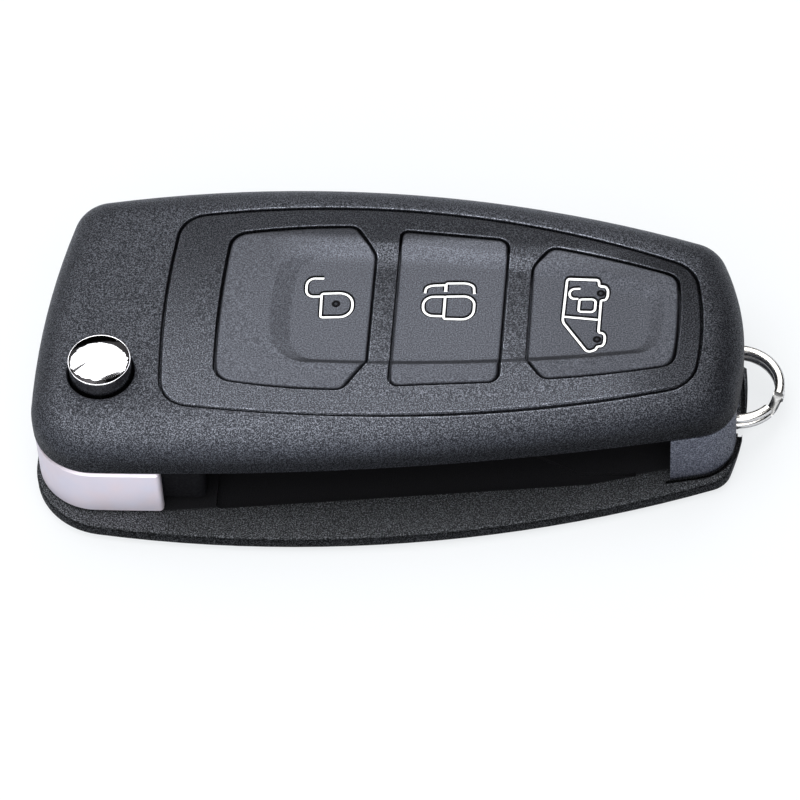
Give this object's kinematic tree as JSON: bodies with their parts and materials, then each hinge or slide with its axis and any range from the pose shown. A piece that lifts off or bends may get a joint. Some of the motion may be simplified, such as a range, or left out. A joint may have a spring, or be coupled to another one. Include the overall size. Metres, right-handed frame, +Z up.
{
  "type": "folding car key remote",
  "caption": "Folding car key remote: rounded housing with lock, unlock and door keys, a flip-out blade carrier, a chrome release button and a split ring.",
  "frame": {"origin": "on the resting face under the bottom cover, below the buttons' midline", "axes": "+X towards the ring end, -Y towards the blade slot, +Z up through the buttons"},
  "size_m": [0.0821, 0.0404, 0.0181],
  "materials": {
    "textured_plastic": "fine spark-eroded black",
    "satin_plastic": "satin black",
    "key_plastic": "fine satin black",
    "rubber": "matt black silicone",
    "chrome": "polished plating",
    "spring_steel": "bright spring wire and strip",
    "ring_steel": "nickel-plated wire",
    "cell_steel": "brushed can",
    "board": "green solder mask",
    "chip_plastic": "moulded black package",
    "switch_plastic": "dark moulded body"
  },
  "bodies": {
    "housing": {"top_cover": "textured_plastic", "button_panel": "textured_plastic", "keypad_mat": "rubber", "middle_frame": "satin_plastic", "bottom_cover": "textured_plastic", "hinge_end_lug": "chrome", "coin_cell": "cell_steel", "cell_rim_contact": "spring_steel", "cell_face_contact": "spring_steel", "circuit_board": "board", "control_chip": "chip_plastic", "radio_crystal": "cell_steel", "transponder_chip": "chip_plastic", "unlock_switch": "switch_plastic", "lock_switch": "switch_plastic", "door_switch": "switch_plastic"},
    "carrier": {"carrier_cover": "chrome", "carrier_core": "satin_plastic", "carrier_hub": "satin_plastic", "flip_spring": "spring_steel"},
    "release": {"release_cap": "chrome", "release_stem": "satin_plastic"},
    "unlock_key": {"unlock_button": "key_plastic"},
    "lock_key": {"lock_button": "key_plastic"},
    "door_key": {"door_button": "key_plastic"},
    "key_ring": {"split_ring": "ring_steel"}
  },
  "joints": [
    {"name": "carrier_flip", "type": "hinge", "parent": "housing", "child": "carrier", "pos_m": [-0.0309, -0.0099, 0.00575], "axis": [0, 0, 1], "range_deg": [-180, 0]},
    {"name": "release_press", "type": "slide", "parent": "housing", "child": "release", "axis": [0, 0, -1], "range_m": [0, 0.0018], "stiffness_N_per_m": 1500, "deforming": ["flip_spring"]},
    {"name": "unlock_press", "type": "slide", "parent": "housing", "child": "unlock_key", "axis": [0, 0, -1], "range_m": [0, 0.0005], "stiffness_N_per_m": 3000, "deforming": ["keypad_mat"]},
    {"name": "lock_press", "type": "slide", "parent": "housing", "child": "lock_key", "axis": [0, 0, -1], "range_m": [0, 0.0005], "stiffness_N_per_m": 3000, "deforming": ["keypad_mat"]},
    {"name": "door_press", "type": "slide", "parent": "housing", "child": "door_key", "axis": [0, 0, -1], "range_m": [0, 0.0005], "stiffness_N_per_m": 3000, "deforming": ["keypad_mat"]},
    {"name": "ring_lift", "type": "hinge", "parent": "housing", "child": "key_ring", "pos_m": [0.03315, 0, 0.00319], "axis": [0, -1, 0], "range_deg": [0, 35]}
  ]
}
